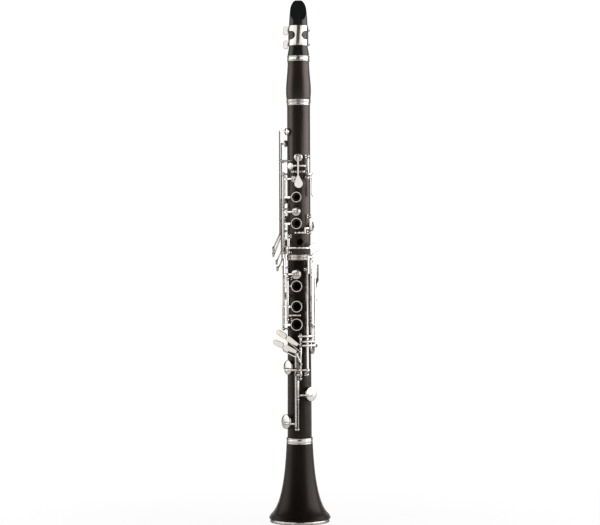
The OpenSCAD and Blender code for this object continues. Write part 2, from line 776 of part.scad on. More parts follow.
module side_key_2() color(key_color) difference() {
    union() {
        cross_tube(side_axis, 0.3, 4.1);
        side_bar(side_x, side_h, 345, 412.7);
        side_frame() translate([side_x - 1.2, side_axis[2] - 1.3, 17.7]) cube([2.4, 2.6, 4.8]);
        side_frame() translate([-0.4, side_cup_2[1] - 1.3, 18.6]) cube([3.8, 2.6, 3.6]);
        side_frame() link([side_x, 346, side_h], [3, 334.4, 28]);
        side_touch(3.8, 27.5, 332);
        cup(side_cup_2);
    }
    cross_tube(side_axis, -9, 9, rod_r + rod_gap);
}

module side_key_3() color(key_color) difference() {
    union() {
        cross_tube(trill_axis, 3.6, 10);
        side_bar(trill_x, lever_h, 367, side_cup_3[1] + 1.3);
        side_frame() link([trill_x, 368, lever_h], [5.6, 351, 32.2], 2.2);
        side_touch(4.6, 31.6, 349);
        arm([-82.9, 24.5], [-66, 20], side_cup_3[1]);
        arm([-66, 20], [side_cup_3[0], 18.9], side_cup_3[1]);
        cup(side_cup_3);
    }
    cross_tube(trill_axis, -15, 15, rod_r + rod_gap);
}

module side_key_4() color(key_color) difference() {
    union() {
        cross_tube(trill_axis, -10, -3.6);
        side_bar(-trill_x, lever_h, 367, side_cup_4[1] + 1.3);
        side_frame() link([-trill_x, 368, lever_h], [-5, 347, 31.4], 2.2);
        side_frame() link([-5, 347, 31.4], [1.6, 342.5, 32.2], 2.2);
        side_touch(4.6, 31.6, 342);
        side_frame() link([-trill_x, side_cup_4[1], 23.2], [0, side_cup_4[1], 19.2], 2.4);
        cup(side_cup_4);
    }
    cross_tube(trill_axis, -15, 15, rod_r + rod_gap);
}

module sliver_key() color(key_color) difference() {
    union() {
        tube(sliver_axis, 372.6, 387.8);
        arc_arm(-13, 24, 18.9, 369.3);
        bar(24, 18.9, 368.4, 376.3);
        arc_arm(24, sliver_axis[0], 18.9, 375);
        arm([sliver_axis[0], sliver_axis[1]], [63, 19.2], sliver_cup[1], arm_w - 0.3);
        arc_arm(63, sliver_cup[0], 19, sliver_cup[1]);
        cup(sliver_cup);
    }
    pad_room(sliver_cup);
    tube_bore(sliver_axis);
}

module c_sharp_key() color(key_color) difference() {
    union() {
        tube(c_sharp_axis, 347.3, 362.4);
        arm([c_sharp_axis[0], c_sharp_axis[1]], [-51, 17.2], c_sharp_cup[1], arm_w - 0.3);
        arc_arm(-77, -51, 17.1, c_sharp_cup[1]);
        arm([-77, 17.1], [-92, 19.1], c_sharp_cup[1], arm_w - 0.3);
        cup(c_sharp_cup);
        arc_arm(c_sharp_axis[0], 44, 20.7, 349.9);
        touch(46, 20.7, [-1, 350.7], 3, [9.5, 352.3], 4.6);
    }
    pad_room(c_sharp_cup);
    tube_bore(c_sharp_axis);
}

// ---------- lower joint keys ----------

module right_ring_key() color(key_color) swing(right_stack, -ring_rise) difference() {
    stack = [right_stack[0], right_stack[1]];
    union() {
        tube(right_stack, 249.8, 322.4);
        for (c = [right_ring_1, right_ring_2, right_ring_3]) {
            arm(stack, ring_edge, c[1]);
            finger_ring(c);
        }
        arm(stack, [-52, 19.1], right_ring_cup[1], arm_w - 0.3);
        arc_arm(-52, right_ring_cup[0], 19, right_ring_cup[1]);
        cup(right_ring_cup);
        arm(stack, [bridge_a, 22.5], 319);
        bar(bridge_a, 22.5, 317.7, 337, 3);
    }
    tube_bore(right_stack);
}

module banana_key() color(key_color) difference() {
    z = 264.3;
    union() {
        tube(banana_axis, 261.6, 308.6, pinky_tube_r);
        arm([banana_axis[0], banana_axis[1]], [-31, 19.1], z, 2);
        arc_arm(-31, 3, 19, z, 2.2);
        arm([banana_axis[0], banana_axis[1]], [-48, 17.4], banana_cup[1], arm_w - 0.3);
        arc_arm(-78, -48, 17.2, banana_cup[1]);
        arm([-78, 17.2], [-92, 19.2], banana_cup[1], arm_w - 0.3);
        cup(banana_cup);
    }
    pad_room(banana_cup);
    tube_bore(banana_axis);
}

touch_a = -32;
touch_r = 23;
over_r = 23.7;

module low_e_key() color(key_color) swing(e_axis, low_rise) difference() {
    union() {
        tube(e_axis, 122.2, 213.6, thin_tube_r);
        arc_arm(low_e_cup[0], e_axis[0], 20.1, 126.5);
        cup(low_e_cup);
        touch(touch_a, touch_r, [-19.5, 229.9], 3.5, [-11.5, 226.7], 3.8);
        link(polar([-60, 25], 226.5), polar([-58, 22.3], 219));
        link(polar([-58, 22.3], 219), polar([e_axis[0], 20.9], 211.5), 2);
    }
    pad_room(low_e_cup);
    tube_bore(e_axis, thin_rod_r);
}

module low_f_key() color(key_color) swing(f_axis, -low_rise) difference() {
    union() {
        tube(f_axis, 159.3, 182, thin_tube_r);
        arc_arm(f_axis[0], low_f_cup[0], 20.2, 163);
        cup(low_f_cup);
    }
    pad_room(low_f_cup);
    tube_bore(f_axis, thin_rod_r);
}

module low_f_touch() color(key_color) swing(pinky_axis, low_rise) difference() {
    union() {
        tube(pinky_axis, 186.2, 204.8, pinky_tube_r);
        touch(touch_a, touch_r, [-3.6, 223.5], 3.8, [8, 218.9], 2.6);
        link(polar([-12.7, 24.8], 219.2), polar([pinky_axis[0], 24.1], 202.8));
        facing(pinky_axis[0], pinky_axis[1], 202.8) cylinder(r = 1.4, h = 5.2);
        facing(pinky_axis[0], pinky_axis[1], 189) cylinder(r = 1.3, h = 3.4);
        arc_arm(-14, pinky_axis[0], over_r, 189);
    }
    tube_bore(pinky_axis);
}

module f_sharp_key() color(key_color) difference() {
    union() {
        tube(long_axis, 191.7, 320.3);
        arc_arm(-50, long_axis[0], over_r, 195);
        facing(long_axis[0], long_axis[1], 195) cylinder(r = 1.3, h = 3.4);
        facing(-50, 18.8, 195.3) cylinder(r = 1.8, h = 5);
        cup(f_sharp_cup);
        facing(long_axis[0], long_axis[1], 318.7) cylinder(r = 1.3, h = 3.8);
        bar(long_axis[0], 24.1, 317.2, 339.8);
        arc_arm(long_axis[0], 48, 24.1, 338.5);
        touch(45, 23.6, [2, 340], 3.2, [15.5, 342.6], 4.6);
    }
    tube_bore(long_axis);
}

module f_sharp_touch() color(key_color) difference() {
    union() {
        tube(pinky_axis, 205.3, 223.8, pinky_tube_r);
        touch(touch_a, touch_r, [-16, 242.4], 3.6, [-8, 238.2], 4);
        link(polar([-50, 24.4], 238), polar([-50, 21.2], 233.5), 1.7);
        link(polar([-50, 21.2], 233.5), polar([pinky_axis[0] - 2, 22.8], 218.5), 2);
    }
    tube_bore(pinky_axis);
}

module a_flat_key() color(key_color) difference() {
    union() {
        tube(pinky_axis, 224.3, 236.9, pinky_tube_r);
        facing(pinky_axis[0], pinky_axis[1], 226) cylinder(r = 1.3, h = 3.4);
        arc_arm(pinky_axis[0], 68, over_r, 226);
        facing(68, 18.8, 225) cylinder(r = 1.8, h = 5.2);
        cup(a_flat_cup);
        touch(touch_a, touch_r, [-0.5, 234.2], 4, [11, 228.1], 2.6);
        link(polar([-7, 25.4], 228.8), polar([pinky_axis[0], 23.9], 226.5));
    }
    tube_bore(pinky_axis);
}

leaf_r = 24.3;
module left_e_lever() color(key_color) difference() {
    union() {
        tube(lever_axis, 235.5, 256.6);
        facing(lever_axis[0], lever_axis[1], 237.8) cylinder(r = 1.3, h = 3.2);
        arc_arm(-1, lever_axis[0], 24, 237.8);
        facing(lever_axis[0], lever_axis[1], 252) cylinder(r = 1.3, h = 3.2);
        arc_arm(43, lever_axis[0], leaf_r, 252);
        bar(43, leaf_r, 250.7, 316);
        touch(50, leaf_r - 0.8, [-2, 315], 3, [1, 330], 4.6);
    }
    tube_bore(lever_axis);
}

module left_f_lever() color(key_color) difference() {
    union() {
        tube(lever_axis, 261.8, 283.3);
        arm([lever_axis[0], lever_axis[1]], [54.8, leaf_r], 272);
        bar(54.8, leaf_r, 229.7, 310.6);
        arc_arm(8, 54.8, leaf_r, 231);
        arc_arm(54.8, 78, leaf_r, 309.3);
        touch(80, leaf_r - 0.8, [-1, 310.6], 3, [0.6, 325], 4.4);
    }
    tube_bore(lever_axis);
}

// ---------- pads ----------

pad_color = [0.9, 0.84, 0.7];
module register_pad() color(pad_color) pad(register_cup);
module a_pad() color(pad_color) pad(a_cup);
module g_sharp_pad() color(pad_color) pad(g_sharp_cup);
module first_ring_pad() color(pad_color) swing(left_stack, -ring_rise) pad(first_ring_cup);
module second_ring_pad() color(pad_color) swing(left_stack, -ring_rise) pad(second_ring_cup);
module side_pad_1() color(pad_color) pad(side_cup_1);
module side_pad_2() color(pad_color) pad(side_cup_2);
module side_pad_3() color(pad_color) pad(side_cup_3);
module side_pad_4() color(pad_color) pad(side_cup_4);
module sliver_pad() color(pad_color) pad(sliver_cup);
module c_sharp_pad() color(pad_color) pad(c_sharp_cup);
module right_ring_pad() color(pad_color) swing(right_stack, -ring_rise) pad(right_ring_cup);
module banana_pad() color(pad_color) pad(banana_cup);
module low_e_pad() color(pad_color) swing(e_axis, low_rise) pad(low_e_cup);
module low_f_pad() color(pad_color) swing(f_axis, -low_rise) pad(low_f_cup);
module f_sharp_pad() color(pad_color) pad(f_sharp_cup);
module a_flat_pad() color(pad_color) pad(a_flat_cup);

mouthpiece();
reed();
ligature();
ligature_screw_upper();
ligature_screw_lower();
barrel();
barrel_rings();
upper_joint();
upper_joint_ring();
lower_joint();
lower_joint_ring();
bell();
bell_socket_ring();
bell_rim_ring();
tenon_corks();
vent_tubes();
thumb_rest();
thumb_rest_screws();
upper_posts();
lower_posts();
hinge_rods();
register_key();
a_key();
g_sharp_key();
first_ring_key();
second_ring_key();
thumb_ring_key();
side_key_1();
side_key_2();
side_key_3();
side_key_4();
sliver_key();
c_sharp_key();
right_ring_key();
banana_key();
low_e_key();
low_f_key();
low_f_touch();
f_sharp_key();
f_sharp_touch();
a_flat_key();
left_e_lever();
left_f_lever();
register_pad();
a_pad();
g_sharp_pad();
first_ring_pad();
second_ring_pad();
side_pad_1();
side_pad_2();
side_pad_3();
side_pad_4();
sliver_pad();
c_sharp_pad();
right_ring_pad();
banana_pad();
low_e_pad();
low_f_pad();
f_sharp_pad();
a_flat_pad();
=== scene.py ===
import json
import math

import bmesh
import bpy
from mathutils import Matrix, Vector


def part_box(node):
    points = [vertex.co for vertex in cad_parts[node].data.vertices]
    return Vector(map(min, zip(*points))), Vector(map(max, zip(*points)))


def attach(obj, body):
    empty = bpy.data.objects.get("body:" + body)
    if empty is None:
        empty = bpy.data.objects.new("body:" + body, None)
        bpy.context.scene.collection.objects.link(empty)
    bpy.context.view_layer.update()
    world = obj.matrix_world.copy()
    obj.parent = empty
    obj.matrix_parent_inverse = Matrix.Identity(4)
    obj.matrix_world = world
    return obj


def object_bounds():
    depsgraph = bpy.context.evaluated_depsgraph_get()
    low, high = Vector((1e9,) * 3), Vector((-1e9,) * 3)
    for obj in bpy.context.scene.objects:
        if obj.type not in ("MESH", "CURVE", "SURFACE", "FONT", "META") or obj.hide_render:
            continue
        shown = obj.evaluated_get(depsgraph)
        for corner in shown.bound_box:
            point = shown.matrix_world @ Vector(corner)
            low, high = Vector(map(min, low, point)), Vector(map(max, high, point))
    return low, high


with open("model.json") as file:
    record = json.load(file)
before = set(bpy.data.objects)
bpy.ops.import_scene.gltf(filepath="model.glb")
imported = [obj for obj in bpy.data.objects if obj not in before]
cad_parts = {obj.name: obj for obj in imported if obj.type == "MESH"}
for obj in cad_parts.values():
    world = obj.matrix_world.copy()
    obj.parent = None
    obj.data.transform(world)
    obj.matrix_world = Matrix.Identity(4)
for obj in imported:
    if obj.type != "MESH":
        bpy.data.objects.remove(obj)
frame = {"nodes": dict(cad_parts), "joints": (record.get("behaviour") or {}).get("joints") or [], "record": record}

cad_low, cad_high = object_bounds()

MM = 0.001
ROOT = "instrument"
nodes = frame["nodes"]
record = frame["record"]
joints = {j["name"]: j for j in frame["joints"]}


# ---------- camera, floor and light ----------

VIEW_DISTANCE = 2.381          # camera to bore axis
VIEW_LENS = 111.6              # on a 36 mm sensor
VIEW_POINT = Vector((0.0012, 0, 0.3315))
VIEW_ROLL = math.radians(0.2)  # the instrument leans a hair to the viewer's left
SENSOR = 36

FLOOR_RADIUS = 14
FLOOR_GAP = 0.2 * MM           # below the bell's rim, so that the two don't share a plane
PAPER_WHITE = 1.05             # the strength at which the camera sees pure white
GLOW_FROM, GLOW_TO = 0.15, 0.8  # the floor's own light grows over these distances from the bore
GLOW_LEAST = 0.82

LAMPS_FACE = Vector((0, 0, 0.34))
ROOM_COLOUR = (0.62, 0.6, 0.58, 1)
ROOM_STRENGTH = 0.1


def make_camera():
    data = bpy.data.cameras.new("camera")
    data.lens = VIEW_LENS
    data.sensor_width = SENSOR
    camera = bpy.data.objects.new("camera", data)
    camera.location = VIEW_POINT + Vector((0, -VIEW_DISTANCE, 0))
    camera.rotation_euler = (math.radians(90), VIEW_ROLL, 0)
    bpy.context.scene.collection.objects.link(camera)
    bpy.context.scene.camera = camera


def make_floor():
    """A round white table, wider than any view, that glows to the camera only."""
    bm = bmesh.new()
    bmesh.ops.create_circle(bm, cap_ends=True, radius=FLOOR_RADIUS, segments=96)
    mesh = bpy.data.meshes.new("floor")
    bm.to_mesh(mesh)
    bm.free()
    floor = bpy.data.objects.new("floor", mesh)
    floor.location.z = cad_low.z - FLOOR_GAP
    bpy.context.scene.collection.objects.link(floor)
    mat = bpy.data.materials.new("floor_white")
    mat.use_nodes = True
    tree = mat.node_tree
    shader = tree.nodes["Principled BSDF"]
    shader.inputs["Base Color"].default_value = (0.9, 0.9, 0.9, 1)
    shader.inputs["Roughness"].default_value = 0.7
    glow = tree.nodes.new("ShaderNodeEmission")
    glow.inputs["Strength"].default_value = PAPER_WHITE
    place = tree.nodes.new("ShaderNodeTexCoord")
    reach = tree.nodes.new("ShaderNodeVectorMath")
    reach.operation = "LENGTH"
    fade = tree.nodes.new("ShaderNodeMapRange")
    fade.interpolation_type = "SMOOTHSTEP"
    fade.inputs["From Min"].default_value = GLOW_FROM
    fade.inputs["From Max"].default_value = GLOW_TO
    fade.inputs["To Min"].default_value = GLOW_LEAST
    mix = tree.nodes.new("ShaderNodeMixShader")
    tree.links.new(place.outputs["Object"], reach.inputs[0])
    tree.links.new(reach.outputs["Value"], fade.inputs["Value"])
    path = tree.nodes.new("ShaderNodeLightPath")
    seen = tree.nodes.new("ShaderNodeMath")
    seen.operation = "MULTIPLY"
    tree.links.new(fade.outputs[0], seen.inputs[0])
    tree.links.new(path.outputs["Is Camera Ray"], seen.inputs[1])
    tree.links.new(seen.outputs[0], mix.inputs[0])
    tree.links.new(shader.outputs[0], mix.inputs[1])
    tree.links.new(glow.outputs[0], mix.inputs[2])
    tree.links.new(mix.outputs[0], tree.nodes["Material Output"].inputs[0])
    mesh.materials.append(mat)


def area_light(name, azimuth, elevation, distance, size, power, colour, only=None):
    """A soft box that looks at the middle of the instrument. Azimuth 0 is the camera's side."""
    turn, lift = math.radians(azimuth), math.radians(elevation)
    way = Vector((math.sin(turn) * math.cos(lift), -math.cos(turn) * math.cos(lift), math.sin(lift)))
    data = bpy.data.lights.new(name, "AREA")
    data.shape = "RECTANGLE"
    data.size, data.size_y = size
    data.energy = power
    data.color = colour
    lamp = bpy.data.objects.new(name, data)
    lamp.location = LAMPS_FACE + way * distance
    lamp.rotation_mode = "QUATERNION"
    lamp.rotation_quaternion = way.to_track_quat("Z", "Y")
    lamp.visible_camera = False
    if only:
        lamp.light_linking.receiver_collection = only
    bpy.context.scene.collection.objects.link(lamp)


PLATED = ("ligature_silver", "ring_silver", "post_silver", "key_silver")
KEYWORK = ("post_silver", "key_silver")


def lit_group(name, slots):
    """The nodes of some slots, and the ligature's screws, as all that a linked lamp lights."""
    group = bpy.data.collections.new(name)
    for node, obj in nodes.items():
        if node_slot(node) in slots or node.startswith("ligature_screw"):
            group.objects.link(obj)
    return group


def make_light():
    plated = lit_group("plated", PLATED)
    keywork = lit_group("keywork", KEYWORK)
    world = bpy.data.worlds.new("studio")
    world.use_nodes = True
    tree = world.node_tree
    back = tree.nodes["Background"]
    back.inputs["Color"].default_value = ROOM_COLOUR
    back.inputs["Strength"].default_value = ROOM_STRENGTH
    white = tree.nodes.new("ShaderNodeBackground")
    white.inputs["Color"].default_value = (1, 1, 1, 1)
    white.inputs["Strength"].default_value = PAPER_WHITE
    path = tree.nodes.new("ShaderNodeLightPath")
    mix = tree.nodes.new("ShaderNodeMixShader")
    tree.links.new(path.outputs["Is Camera Ray"], mix.inputs[0])
    tree.links.new(back.outputs[0], mix.inputs[1])
    tree.links.new(white.outputs[0], mix.inputs[2])
    tree.links.new(mix.outputs[0], tree.nodes["World Output"].inputs[0])
    bpy.context.scene.world = world
    area_light("box_right", 84, 6, 3.0, (3.8, 3.4), 100, (1.0, 0.955, 0.95))
    area_light("box_left", -93, 6, 3.0, (3.0, 3.4), 42, (1.0, 0.96, 0.90))
    area_light("fill_right", 34, 6, 3.2, (1.9, 3.0), 16, (1.0, 0.91, 0.85), plated)
    area_light("fill_left", -44, 6, 3.2, (2.6, 3.0), 22, (1.0, 0.95, 0.91), plated)
    area_light("panel", 0, 2, 3.4, (1.1, 2.6), 8, (1.0, 0.97, 0.93), keywork)
    area_light("box_top", 180, 45, 2.6, (1.8, 1.5), 40, (1, 1, 1))
    area_light("strip_right", 155, 10, 3.0, (0.8, 3.0), 9, (1, 1, 1))
    area_light("strip_left", -155, 10, 3.0, (0.8, 3.0), 9, (1, 1, 1))
    bpy.context.scene.view_settings.view_transform = "Standard"


# ---------- materials ----------

class Finish:
    """A material under construction: a Principled shader and the nodes that vary it."""

    def __init__(self, name, colour, **values):
        self.material = bpy.data.materials.new(name)
        self.material.use_nodes = True
        self.tree = self.material.node_tree
        self.shader = self.tree.nodes["Principled BSDF"]
        self.shader.inputs["Base Color"].default_value = (*colour, 1)
        for key, value in values.items():
            socket = key.replace("_", " ").title().replace("Ior", "IOR")
            self.shader.inputs[socket].default_value = value
        self.place = self.tree.nodes.new("ShaderNodeTexCoord").outputs["Object"]

    def link(self, out, into):
        self.tree.links.new(out, into)

    def noise(self, scale, detail=4.0, rough=0.55, distortion=0.0):
        """Noise with one scale for each axis, in cycles per metre."""
        mapping = self.tree.nodes.new("ShaderNodeMapping")
        mapping.inputs["Scale"].default_value = scale
        texture = self.tree.nodes.new("ShaderNodeTexNoise")
        texture.inputs["Scale"].default_value = 1
        texture.inputs["Detail"].default_value = detail
        texture.inputs["Roughness"].default_value = rough
        texture.inputs["Distortion"].default_value = distortion
        self.link(self.place, mapping.inputs["Vector"])
        self.link(mapping.outputs[0], texture.inputs["Vector"])
        return texture.outputs[0]

    def ramp(self, value, *stops):
        """Maps a value to colours or greys; each stop is (place, colour or grey)."""
        node = self.tree.nodes.new("ShaderNodeValToRGB")
        while len(node.color_ramp.elements) < len(stops):
            node.color_ramp.elements.new(0.5)
        for element, (place, colour) in zip(node.color_ramp.elements, stops):
            element.position = place
            if not isinstance(colour, tuple):
                colour = (colour, colour, colour)
            element.color = (*colour, 1)
        self.link(value, node.inputs[0])
        return node.outputs[0]

    def mix(self, factor, a, b):
        """Mixes two colours; each is a link or a colour."""
        node = self.tree.nodes.new("ShaderNodeMix")
        node.data_type = "RGBA"
        self.link(factor, node.inputs[0])
        for end, into in ((a, node.inputs[6]), (b, node.inputs[7])):
            if isinstance(end, tuple):
                into.default_value = (*end, 1)
            else:
                self.link(end, into)
        return node.outputs[2]

    def height(self):
        """The place along the bore, in metres."""
        split = self.tree.nodes.new("ShaderNodeSeparateXYZ")
        self.link(self.place, split.inputs[0])
        return split.outputs[2]

    def between(self, value, low, high):
        """0 below low, 1 above high, smooth between."""
        node = self.tree.nodes.new("ShaderNodeMapRange")
        node.interpolation_type = "SMOOTHSTEP"
        node.inputs["From Min"].default_value = low
        node.inputs["From Max"].default_value = high
        self.link(value, node.inputs["Value"])
        return node.outputs[0]

    def turned_away(self, low, high):
        """0 where the surface faces the viewer, 1 where it is seen at a glance."""
        weight = self.tree.nodes.new("ShaderNodeLayerWeight")
        weight.inputs["Blend"].default_value = 0.5
        return self.between(weight.outputs["Facing"], low, high)

    def colour(self, out):
        self.link(out, self.shader.inputs["Base Color"])

    def roughness(self, out):
        self.link(out, self.shader.inputs["Roughness"])

    def bump(self, out, strength, depth):
        node = self.tree.nodes.new("ShaderNodeBump")
        node.inputs["Strength"].default_value = strength
        node.inputs["Distance"].default_value = depth
        self.link(out, node.inputs["Height"])
        last = self.shader.inputs["Normal"]
        if last.is_linked:
            self.link(last.links[0].from_socket, node.inputs["Normal"])
        self.link(node.outputs[0], last)


WOOD_SHEEN = (1.0, 0.86, 0.79, 1)    # oil and dust warm the reflections
# painted shade, not tarnish: the dark that plate is coloured where it turns away from the viewer, in place of the
# dark rims its reflections give
PAINTED_GRAZE_SHADE = (0.13, 0.115, 0.10)        # what plate darkens to where it turns away from the viewer
PAINTED_GRAZE_FROM, PAINTED_GRAZE_TO = 0.3, 0.75
WARM_PATCH = (0.78, 0.66, 0.52)      # handled plate goes warm in patches


def grenadilla(name, dark, light, shine, gloss):
    """Oiled African blackwood: long grain up the bore, fine pores, a satin turned surface."""
    finish = Finish(name, dark, specular_ior_level=gloss, coat_weight=0.06, coat_roughness=0.2)
    finish.shader.inputs["Specular Tint"].default_value = WOOD_SHEEN
    grain = finish.noise((420, 420, 14), 6, 0.62, 0.6)
    streak = finish.noise((90, 90, 4), 3, 0.5, 1.2)
    pores = finish.noise((2600, 2600, 150), 3, 0.6)
    turned = finish.noise((60, 60, 5200), 2, 0.5)
    middle = tuple((a + b) / 2 for a, b in zip(dark, light))
    wood = finish.ramp(grain, (0.3, dark), (0.62, middle), (0.8, light))
    wood = finish.mix(finish.ramp(streak, (0.42, 0.0), (0.75, 0.55)), wood, light)
    pore = tuple(0.35 * c for c in dark)
    finish.colour(finish.mix(finish.ramp(pores, (0.62, 0.0), (0.72, 0.8)), wood, pore))
    finish.roughness(finish.ramp(grain, (0.25, shine), (0.8, shine + 0.14)))
    finish.bump(pores, 0.16, 0.00006)
    finish.bump(turned, 0.05, 0.00003)
    return finish.material


def plate(name, colour, shine):
    """Polished silver plate: warm patches, fine rubbing marks, and painted shade where it turns away from the
    viewer.
    """
    finish = Finish(name, colour, metallic=1.0)
    patches = finish.noise((55, 55, 40), 5, 0.6, 0.4)
    rubbing = finish.noise((900, 900, 260), 4, 0.65, 0.5)
    marks = finish.noise((5200, 5200, 900), 2, 0.5)
    silver = finish.mix(finish.ramp(patches, (0.5, 0.0), (0.8, 0.3)), colour, WARM_PATCH)
    # painted shade: the plate's colour goes dark where the surface is seen at a glance
    finish.colour(finish.mix(finish.turned_away(PAINTED_GRAZE_FROM, PAINTED_GRAZE_TO), silver, PAINTED_GRAZE_SHADE))
    finish.roughness(finish.ramp(rubbing, (0.3, shine), (0.75, shine + 0.12)))
    finish.bump(rubbing, 0.05, 0.00005)
    finish.bump(marks, 0.04, 0.00002)
    return finish.material


def hard_rubber():
    """Ebonite: nearly black with a trace of green, polished, with faint swirls."""
    finish = Finish(
        "ebonite", (0.010, 0.012, 0.012), specular_ior_level=0.5, coat_weight=0.2, coat_roughness=0.12
    )
    swirl = finish.noise((70, 70, 45), 5, 0.6, 0.8)
    fine = finish.noise((2400, 2400, 1600), 3, 0.6)
    finish.colour(finish.ramp(swirl, (0.35, (0.015, 0.019, 0.019)), (0.75, (0.026, 0.031, 0.030))))
    finish.roughness(finish.ramp(fine, (0.3, 0.16), (0.8, 0.3)))
    finish.bump(fine, 0.06, 0.00003)
    return finish.material


def cane():
    """A reed: pale cane with fibres along it, and the darker bark left on its butt."""
    finish = Finish("cane_fibre", (0.72, 0.55, 0.28), specular_ior_level=0.35)
    fibre = finish.noise((2600, 2600, 30), 4, 0.6)
    mottle = finish.noise((160, 160, 60), 4, 0.6, 0.6)
    wood = finish.ramp(fibre, (0.3, (0.60, 0.43, 0.20)), (0.7, (0.80, 0.65, 0.38)))
    bark = finish.ramp(mottle, (0.35, (0.50, 0.33, 0.12)), (0.75, (0.70, 0.53, 0.24)))
    low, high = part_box("reed")
    vamp = low.z + 0.5 * (high.z - low.z)
    finish.colour(finish.mix(finish.between(finish.height(), vamp - 0.004, vamp + 0.001), bark, wood))
    finish.roughness(finish.ramp(fibre, (0.3, 0.42), (0.8, 0.62)))
    finish.bump(fibre, 0.25, 0.00005)
    return finish.material


def cork():
    """Sheet cork: fine cells and dark flecks."""
    finish = Finish("sheet_cork", (0.55, 0.38, 0.22), specular_ior_level=0.25)
    cells = finish.noise((1500, 1500, 1500), 4, 0.6)
    flecks = finish.noise((420, 420, 420), 3, 0.55, 0.6)
    base = finish.ramp(cells, (0.3, (0.42, 0.27, 0.14)), (0.75, (0.66, 0.47, 0.29)))
    finish.colour(finish.mix(finish.ramp(flecks, (0.62, 0.0), (0.7, 0.85)), base, (0.16, 0.08, 0.04)))
    finish.roughness(finish.ramp(cells, (0.3, 0.7), (0.8, 0.9)))
    finish.bump(cells, 0.5, 0.0001)
    return finish.material


def steel():
    """Bare rod steel with drawing marks."""
    finish = Finish("rod_steel", (0.55, 0.56, 0.58), metallic=1.0)
    drawn = finish.noise((3600, 3600, 60), 3, 0.6)
    spots = finish.noise((500, 500, 500), 4, 0.6)
    finish.colour(finish.ramp(spots, (0.4, (0.62, 0.63, 0.65)), (0.8, (0.40, 0.40, 0.42))))
    finish.roughness(finish.ramp(drawn, (0.3, 0.2), (0.8, 0.38)))
    finish.bump(drawn, 0.08, 0.00003)
    return finish.material


def blued_steel():
    """Spring steel, blued by heat in uneven bands."""
    finish = Finish("blued_steel", (0.05, 0.07, 0.14), metallic=1.0)
    heat = finish.noise((300, 300, 120), 4, 0.6, 0.5)
    drawn = finish.noise((4000, 4000, 4000), 2, 0.5)
    finish.colour(finish.ramp(heat, (0.35, (0.035, 0.05, 0.12)), (0.7, (0.10, 0.10, 0.16))))
    finish.roughness(finish.ramp(drawn, (0.3, 0.25), (0.8, 0.4)))
    finish.bump(drawn, 0.06, 0.00002)
    return finish.material


def pad_skin():
    """Goldbeater's skin over felt: thin, cream, faintly wrinkled."""
    finish = Finish("bladder_skin", (0.80, 0.72, 0.58), specular_ior_level=0.4, sheen_weight=0.2)
    veins = finish.noise((800, 800, 800), 5, 0.6, 1.0)
    patches = finish.noise((150, 150, 150), 3, 0.5)
    finish.colour(finish.ramp(patches, (0.3, (0.68, 0.58, 0.42)), (0.75, (0.86, 0.80, 0.68))))
    finish.roughness(finish.ramp(veins, (0.3, 0.38), (0.8, 0.6)))
    finish.bump(veins, 0.35, 0.00008)
    return finish.material


UPPER_DARK = (0.008, 0.0065, 0.0055)  # the barrel and the upper joint catch more light
LOWER_DARK = (0.006, 0.0048, 0.0038)
SILVER = (0.93, 0.915, 0.89)
POST_SILVER = (0.90, 0.88, 0.85)
# painted shade: the dark grey of the rounded edges of keys and ligature screws, drawing their dark outlines
PAINTED_EDGE_SHADE = (0.17, 0.155, 0.14)


def make_finishes():
    """One material for each slot of the record, one of painted shade for the key edges, and one for the springs.
    """
    return {
        "mouthpiece": hard_rubber(),
        "cane": cane(),
        "barrel_wood": grenadilla("blackwood_barrel", UPPER_DARK, (0.026, 0.019, 0.016), 0.33, 1.0),
        "upper_wood": grenadilla("blackwood_upper", UPPER_DARK, (0.026, 0.019, 0.015), 0.33, 1.0),
        "lower_wood": grenadilla("blackwood_lower", LOWER_DARK, (0.016, 0.012, 0.009), 0.3, 0.35),
        "bell_wood": grenadilla("blackwood_bell", LOWER_DARK, (0.015, 0.0115, 0.0085), 0.34, 0.3),
        "cork": cork(),
        "steel": steel(),
        "ligature_silver": plate("ligature_plate", SILVER, 0.10),
        "ring_silver": plate("ring_plate", SILVER, 0.12),
        "post_silver": plate("post_plate", POST_SILVER, 0.14),
        "key_silver": plate("key_plate", SILVER, 0.10),
        # painted shade on the rounded edges of keys and ligature screws
        "key_edge": plate("key_edge", PAINTED_EDGE_SHADE, 0.2),
        "pad_skin": pad_skin(),
        "spring": blued_steel(),
    }


# ---------- what the CAD gave ----------

def node_slot(node):
    """The material slot that the record gives a CAD node."""
    return next(s["material_slot"] for s in record["subparts"] if s["node"] == node)


WELD_GAP = 0.002 * MM
FLAT_ANGLE = math.radians(0.6)   # faces that differ by less are one flat face
SHARP_ANGLE = math.radians(38)   # edges sharper than this are rounded
EDGE_STEPS = 3


def soften(obj, width):
    """Rounds a CAD node's sharp edges, in its last material, which on keys and the ligature's screws is the
    painted edge shade.

    The rounding isn't limited where edges are close together, so its corners can stray: see hold_to_surface.
    """
    weld = obj.modifiers.new("weld", "WELD")
    weld.merge_threshold = WELD_GAP
    flat = obj.modifiers.new("flat", "DECIMATE")
    flat.decimate_type = "DISSOLVE"
    flat.angle_limit = FLAT_ANGLE
    edge = obj.modifiers.new("edge", "BEVEL")
    edge.width = width
    edge.segments = EDGE_STEPS
    edge.limit_method = "ANGLE"
    edge.angle_limit = SHARP_ANGLE
    edge.use_clamp_overlap = False
    edge.harden_normals = True
    edge.material = len(obj.data.materials) - 1


